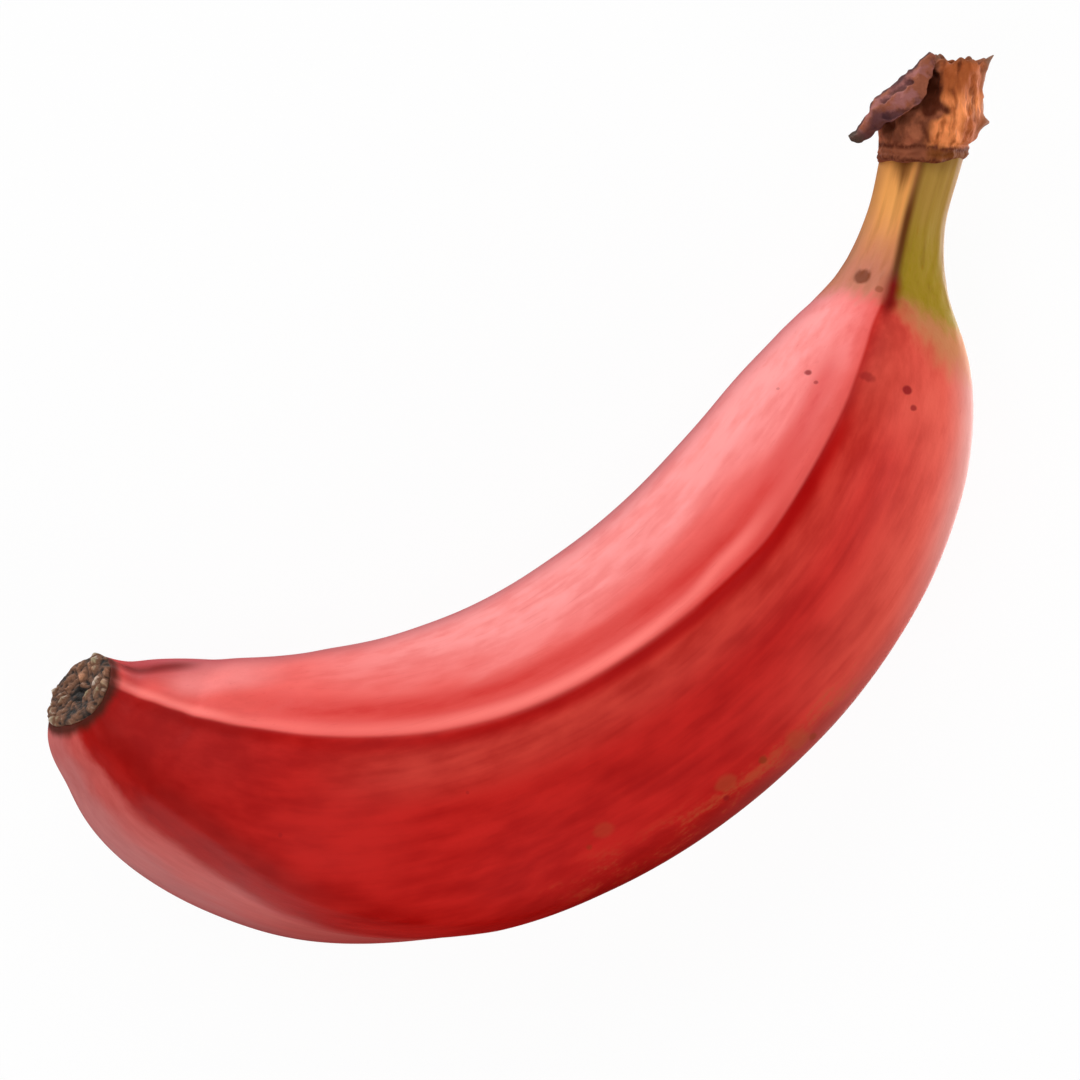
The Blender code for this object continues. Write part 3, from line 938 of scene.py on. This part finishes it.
def makeCrown(sections):
    middle, outward, upward, along = stemFrame(sections)
    at, rows = spreadRows(crown["rings"], crown["between"])
    angles = np.arange(crown["points"]) * 360 / crown["points"]
    turns = np.radians(angles)
    halves, lean = (rows[:, 1:2] + rows[:, 2:3]) / 2, (rows[:, 2:3] - rows[:, 1:2]) / 2
    spokes = np.hypot(np.cos(turns) * halves, np.sin(turns) * rows[:, 3:4])
    onBark = step(at, 6.5, 8.0)[:, None] * step(at, crown["inside"] + 1, crown["inside"])[:, None]
    rim = bump(at, crown["inside"], 1.3)[:, None]
    reach, rise = crownSpikes(angles, rows[:, 0:1], at)
    torn = crown["tear"] * rim * (np.sin(turns * 5 + 0.6) + 0.7 * np.sin(turns * 11 + 1.9))
    slope = 0.55 * np.cos(turns) + 0.15 * np.sin(turns * 3 + 0.4) + 0.12 * np.sin(turns * 7 + 2.0)
    heights = rows[:, 0:1] + torn + slope * step(at, 8, 6)[:, None] + rise

    def outline(extra):
        grow = 1 + extra / spokes
        return lean + halves * np.cos(turns) * grow, rows[:, 3:4] * np.sin(turns) * grow

    across, up = outline(0)
    flat = np.stack([across, up, heights], axis=2)
    seen = step(np.sin(turns), 0.0, 0.35) * onBark
    folds = foldDepth(across + crown["lean"] * heights, heights, crown["folds"]) * seen
    bark = 0.28 * (creases(flat * (1, 1, 0.22), 2.0, 4.4) - 0.5) + 0.3 * roughness(flat, 2.6, 9.2)
    relief = folds + onBark * bark + 0.3 * (creases(flat, 1.9, 2.0) - 0.5)
    relief += onBark * 0.14 * roughness(flat * (1, 1, 0.3), 0.7, 3.0)
    across, up = outline(np.maximum(reach + relief, -2.5))
    rings = middle + across[..., None] * outward + up[..., None] * upward + heights[..., None] * along
    inside = step(at, crown["inside"] + 0.4, crown["inside"] + 1.6)[:, None] + 0 * across
    values = {"relief": relief, "folds": folds, "inside": inside, "grain": flat}
    piece = loftRings("crown", rings, values, crownMaterial())
    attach(piece, "root")
    print("crown made")


def crownMaterial():
    sheet = NodeSheet(bpy.data.materials.new("dry crown"), crown)
    relief, folds = sheet.number("relief"), sheet.number("folds")
    inside, grain = sheet.number("inside"), sheet.places("grain")
    across = sheet.node("ShaderNodeSeparateXYZ", {}, {0: grain}, "X")
    height = sheet.node("ShaderNodeSeparateXYZ", {}, {0: grain}, "Z")
    streaks = sheet.grains(grain, (1.3, 1.3, 0.2), 4)
    patches = sheet.grains(grain, (0.4, 0.4, 0.3), 4)
    grit = sheet.grains(grain, (3.0, 3.0, 1.5), 4)

    # brown bark on the inner side, orange and ginger on the outer
    brown = sheet.mix(sheet.step(patches, 0.4, 0.62), crown["umber"], crown["russet"])
    tone = sheet.step(0.6 * streaks + 0.4 * patches, 0.32, 0.54)
    lit = sheet.mix(tone, crown["ginger"], crown["orange"])
    upper = sheet.step(height + patches.swing(3), 6.5, 9.5)
    corner = sheet.step(across + patches.swing(2), 3.6, 5.4) * sheet.step(height, 6.5, 4.5)
    lit = sheet.mix(upper.highest(corner) * (0.5 + 0.7 * streaks), lit, crown["ginger"])
    border = 0.2 + 2.6 * sheet.band(height, 5.9, 2.0) + sheet.step(height, 6.0, 8.0)
    border = border + streaks.swing(2.4)
    sheet.colour = sheet.mix(sheet.step(across - border, -0.8, 0.8), brown, lit)

    # weathered edges, and painted shade in the folds and hollows
    sheet.lay(sheet.step(across + patches.swing(2), 6.6, 7.8) * 0.7, "grey")
    sheet.lay(sheet.step(height + patches.swing(2), 12.0, 13.2) * 0.6, "grey")
    # painted shade in the folds and hollows
    sheet.lay(sheet.step(folds + grit.swing(0.3), -0.05, -0.6), "dark")
    sheet.lay(sheet.step(relief + grit.swing(0.3), -0.1, -0.55) * 0.6, "dark")

    # the collar at the foot, with an olive stain, and painted shade along its grooves
    collar = sheet.step(height + patches.swing(0.8), 1.1, 0.4)
    sheet.lay(collar * 0.8, sheet.mix(patches, crown["umber"], crown["russet"]))
    olive = sheet.step(across + streaks.swing(2), -0.3, 1.0)
    olive = olive * sheet.band(height + patches.swing(1), 0.0, 1.9)
    sheet.lay(olive * 0.95, "olive")
    # painted shade along the collar's grooves, under the flap's edge
    collarGrooveShade = sheet.band(height + patches.swing(1.8), 0.8, 0.6)
    collarGrooveShade = collarGrooveShade.highest(sheet.band(height + streaks.swing(1.8), -1.0, 0.6))
    broken = 0.25 + 0.7 * sheet.step(grit + patches, 0.75, 1.05)
    sheet.lay(collarGrooveShade * broken, "dark")

    # the torn rim's inner side painted dark as shade
    sheet.lay(inside, "dark")
    return sheet.finish(0.6 + 0.25 * patches, 0.6 * streaks + 0.4 * grit)


flap = {
    # the inner edge's and the outer edge's place across, along and above the stem's middle, then
    # how far the sheet swells between them and how thick it is, in mm
    "rows": (
        (-0.4, 13.5, 2.4, 0.5, 13.1, 3.0, 0.2, 0.5),
        (-1.7, 11.8, 1.6, 0.2, 11.2, 4.3, 0.6, 1.1),
        (-2.9, 10.1, 0.6, -0.4, 9.0, 5.3, 1.0, 1.4),
        (-3.8, 8.4, -0.6, -1.4, 6.9, 6.2, 1.6, 1.6),
        (-4.6, 6.9, -1.2, -2.9, 5.5, 6.4, 1.7, 1.7),
        (-6.2, 5.2, -1.2, -4.6, 4.3, 5.6, 1.6, 1.7),
        (-7.2, 3.7, 0.2, -6.0, 3.2, 4.6, 1.1, 1.6),
        (-8.6, 2.7, 1.4, -7.5, 1.6, 3.3, 0.5, 1.4),
        (-9.8, 2.0, 1.4, -8.9, 0.7, 2.4, 0.2, 1.4),
        (-10.3, 1.5, 1.7, -9.8, 0.8, 2.1, 0.0, 0.6),
    ),
    "between": 12,      # rings for each row
    "points": 96,       # points round a ring
    "frayed": 0.11,     # how ragged the edges are
    "folds": (
        ((-0.2, 9.8), (-2.6, 6.4), 0.55, 0.45),
        ((-1.6, 9.4), (-5.0, 6.6), 0.45, -0.35),
        ((-3.0, 7.6), (-6.4, 4.8), 0.5, 0.4),
        ((-2.2, 5.9), (-5.6, 4.6), 0.45, -0.5),
        ((0.4, 11.6), (0.3, 9.4), 0.4, 0.3),
        ((-6.4, 4.4), (-8.6, 2.4), 0.4, 0.3),
    ),
    "finish": (0.15, 0.0004, 0.9),
    "purple": (0.36, 0.13, 0.115),
    "rust": (0.31, 0.09, 0.045),
    # the next is painted shade on the flap
    "outline": (0.045, 0.013, 0.018),
    "tipGrey": (0.075, 0.048, 0.034),
}


def makeFlap(sections):
    middle, outward, upward, along = stemFrame(sections)
    at, rows = spreadRows(flap["rows"], flap["between"])
    left, right = rows[:, [0, 2, 1]], rows[:, [3, 5, 4]]        # across, above, along
    middles, spans = (left + right) / 2, (right - left) / 2
    turns = np.arange(flap["points"]) * 2 * np.pi / flap["points"]
    facing = unit(np.cross(spans, np.gradient(middles, axis=0)))
    facing = facing * np.sign(facing[:, 1:2])
    side = np.cos(turns)[None, :, None]
    frays = roughness(middles[:, None] + side * (0, 0, 3.0), 0.9, 5.0)[..., None]
    ragged = 1 + flap["frayed"] * frays
    swell = rows[:, 6:7, None] * (1 - side**2) + rows[:, 7:8, None] / 2 * np.sin(turns)[None, :, None]
    flat = middles[:, None] + spans[:, None] * side * ragged + facing[:, None] * swell
    top = step(np.sin(turns), -0.2, 0.4)[None, :]
    folds = foldDepth(flat[..., 0] + crown["lean"] * flat[..., 2], flat[..., 2], flap["folds"]) * top
    relief = folds + 0.25 * roughness(flat, 1.9, 1.0)
    relief += 0.4 * (creases(flat * (0.6, 0.6, 1), 1.2, 6.6) - 0.5)
    flat = flat + facing[:, None] * (relief * step(at, 0, 1.5)[:, None])[..., None]
    rings = middle + flat[..., 0:1] * outward + flat[..., 1:2] * upward + flat[..., 2:3] * along
    shade = (1 - side[..., 0]) / 2 + 0 * relief
    reach = (at / at[-1])[:, None] + 0 * relief
    values = {"relief": relief, "edge": shade, "reach": reach, "grain": flat}
    piece = loftRings("crown_flap", rings, values, flapMaterial())
    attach(piece, "root")
    print("crown flap made")


def flapMaterial():
    sheet = NodeSheet(bpy.data.materials.new("dry flap"), flap)
    relief, edge, reach = sheet.number("relief"), sheet.number("edge"), sheet.number("reach")
    grain = sheet.places("grain")
    streaks = sheet.grains(grain, (0.5, 0.5, 0.5), 4)
    grit = sheet.grains(grain, (2.6, 2.6, 2.6), 4)
    sheet.colour = sheet.mix(sheet.step(streaks, 0.40, 0.60), flap["rust"], flap["purple"])
    # painted shade in the hollows, where the inner edge rolls under, and along the outer edge
    flapHollowShade = sheet.step(relief + grit.swing(0.4), 0.0, -0.40)
    sheet.lay(flapHollowShade * 0.7, "outline")
    underEdgeShade = sheet.step(edge + streaks.swing(0.3), 0.47, 0.62)
    sheet.lay(underEdgeShade * 0.85, "outline")
    outerEdgeShade = sheet.step(edge, 0.34, 0.12) * sheet.step(reach + streaks.swing(0.2), 0.48, 0.62)
    sheet.lay(outerEdgeShade * 0.75, "outline")
    tip = sheet.step(reach + streaks.swing(0.1), 0.76, 0.88)
    sheet.lay(tip * 0.9, "tipGrey")
    return sheet.finish(0.55 + 0.25 * streaks, 0.5 * streaks + 0.5 * grit)


scar = {
    # size as a share of the fruit's end, and mm beyond it, from the hidden back to the middle
    "rings": (
        (0.3, -0.7), (0.76, -0.6), (0.90, -0.3), (0.955, 0.1), (0.94, 0.55), (0.86, 0.85),
        (0.70, 0.85), (0.52, 0.6), (0.34, 0.4), (0.2, 0.5), (0.05, 0.6),
    ),
    "between": 6,               # rings for each row
    "lumpSize": 1.75,           # mm
    "lumpHeight": 0.8,          # mm
    "cleft": 0.7,               # how wide the clefts between the lumps are
    "finish": (0.5, 0.0005, 1.0),
    "crust": (0.20, 0.085, 0.043),
    "pale": (0.68, 0.54, 0.45),
    "olive": (0.38, 0.31, 0.18),
    "tan": (0.55, 0.25, 0.13),
    # the next is painted shade in the clefts
    "cleftShade": (0.010, 0.006, 0.004),
}


def scarLumps(flat):
    # 0 in the clefts and 1 on the lumps between them
    warp = np.stack([roughness(flat, 2.0, seed) for seed in (1.1, 4.2, 7.3)], axis=2) * 0.5
    lumps = []
    for place in (flat + warp).reshape(-1, 3):
        near = noise.voronoi(Vector(place) / scar["lumpSize"] + Vector((2.3, 0.7, 0)))[0]
        lumps.append(min(near[1] - near[0], scar["cleft"]) / scar["cleft"])
    return np.array(lumps).reshape(flat.shape[:2])


def makeScar(sections):
    middles, (along, outward, upward), rings = sections[:3]
    middle, edge = middles[0] - (0, 0, peel["bed"]), rings[0] - (0, 0, peel["bed"])
    at, rows = spreadRows(scar["rings"], scar["between"])
    spokes = edge - middle
    reach = rows[:, 0:1] * np.linalg.norm(spokes, axis=1)
    turns = np.arctan2(spokes @ upward[0], spokes @ outward[0])
    flat = np.stack([reach * np.cos(turns), reach * np.sin(turns), np.zeros_like(reach)], axis=2)
    front = step(at, 2.6, 4.0)[:, None]
    uneven = roughness(flat, 2.2, 3.3)
    lumps = scar["lumpHeight"] * (scarLumps(flat)**0.7 - 0.5) * (0.8 + uneven)
    lift = front * (lumps + 0.5 * uneven)
    lift += front * 0.18 * roughness(flat, 0.5, 6.0)
    lift -= front * 0.8 * np.exp(-((reach / 1.3) ** 2))
    ragged = 1 + 0.05 * roughness(flat + (0, 0, 3.0), 1.4, 8.0) * step(at, 1.0, 3.0)[:, None]
    beyond = rows[:, 1:2] + lift
    sides = (rows[:, 0:1] * ragged)[..., None] * spokes
    places = middle + sides - beyond[..., None] * along[0]
    piece = loftRings("scar", places, {"lift": lift, "grain": flat}, scarMaterial())
    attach(piece, "root")
    print("scar made")


def scarMaterial():
    sheet = NodeSheet(bpy.data.materials.new("blossom scar"), scar)
    lift, grain = sheet.number("lift"), sheet.places("grain")
    grit = sheet.grains(grain, (2.0, 2.0, 2.0), 5)
    patches = sheet.grains(grain, (0.35, 0.35, 0.35), 3, (3, 1, 0))
    spread = sheet.grains(grain, (0.16, 0.16, 0.16), 2, (1, 6, 0))
    # the lumps' tops pale: partly their own colour, partly painted highlight
    high = sheet.mix(sheet.step(patches, 0.40, 0.60), scar["olive"], scar["pale"])
    high = sheet.mix(sheet.step(spread, 0.50, 0.62), high, scar["tan"])
    sheet.colour = sheet.mix(sheet.step(lift + grit.swing(0.9), -0.02, 0.4), scar["crust"], high)
    # the clefts painted dark as shade
    sheet.lay(sheet.step(lift + grit.swing(0.3), -0.05, -0.4), "cleftShade")
    return sheet.finish(0.7 + 0.2 * grit, grit)


makeCamera()
makeStudio()
sections = peelSections()
makePeel(sections)
makeCrown(sections)
makeFlap(sections)
makeScar(sections)
